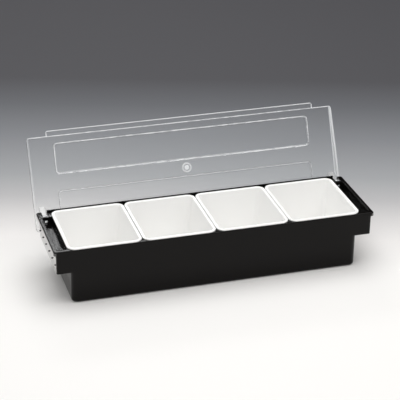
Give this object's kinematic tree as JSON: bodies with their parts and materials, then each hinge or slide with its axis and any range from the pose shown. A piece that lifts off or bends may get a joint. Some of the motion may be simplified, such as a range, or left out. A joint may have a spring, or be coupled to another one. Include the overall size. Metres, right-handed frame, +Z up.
{
  "type": "bar garnish tray",
  "caption": "Countertop garnish tray: black trough with wings, white lift-out pans under flanges and a clear lid that swings up on rear hinge lugs",
  "frame": {"origin": "centre of the tray's flat underside, on the surface it stands on", "axes": "+X along the row of pans, to the right seen from the user's side; +Y away from the user, towards the hinge; +Z up"},
  "size_m": [0.495, 0.2054, 0.1937],
  "materials": {
    "black_plastic": "smooth gloss",
    "white_plastic": "smooth gloss",
    "clear_plastic": "clear, polished"
  },
  "bodies": {
    "tray": {"tray_base": "black_plastic"},
    "pan_1": {"pan_1": "white_plastic"},
    "pan_2": {"pan_2": "white_plastic"},
    "pan_3": {"pan_3": "white_plastic"},
    "pan_4": {"pan_4": "white_plastic"},
    "lid": {"lid": "clear_plastic"}
  },
  "joints": [
    {"name": "lid_hinge", "type": "hinge", "parent": "tray", "child": "lid", "pos_m": [0, 0.064, 0.08], "axis": [-1, 0, 0], "range_deg": [-116.9, 0]},
    {"name": "pan_1_lift", "type": "slide", "parent": "tray", "child": "pan_1", "axis": [0, 0, 1], "range_m": [0, 0.095]},
    {"name": "pan_2_lift", "type": "slide", "parent": "tray", "child": "pan_2", "axis": [0, 0, 1], "range_m": [0, 0.095]},
    {"name": "pan_3_lift", "type": "slide", "parent": "tray", "child": "pan_3", "axis": [0, 0, 1], "range_m": [0, 0.095]},
    {"name": "pan_4_lift", "type": "slide", "parent": "tray", "child": "pan_4", "axis": [0, 0, 1], "range_m": [0, 0.095]}
  ]
}
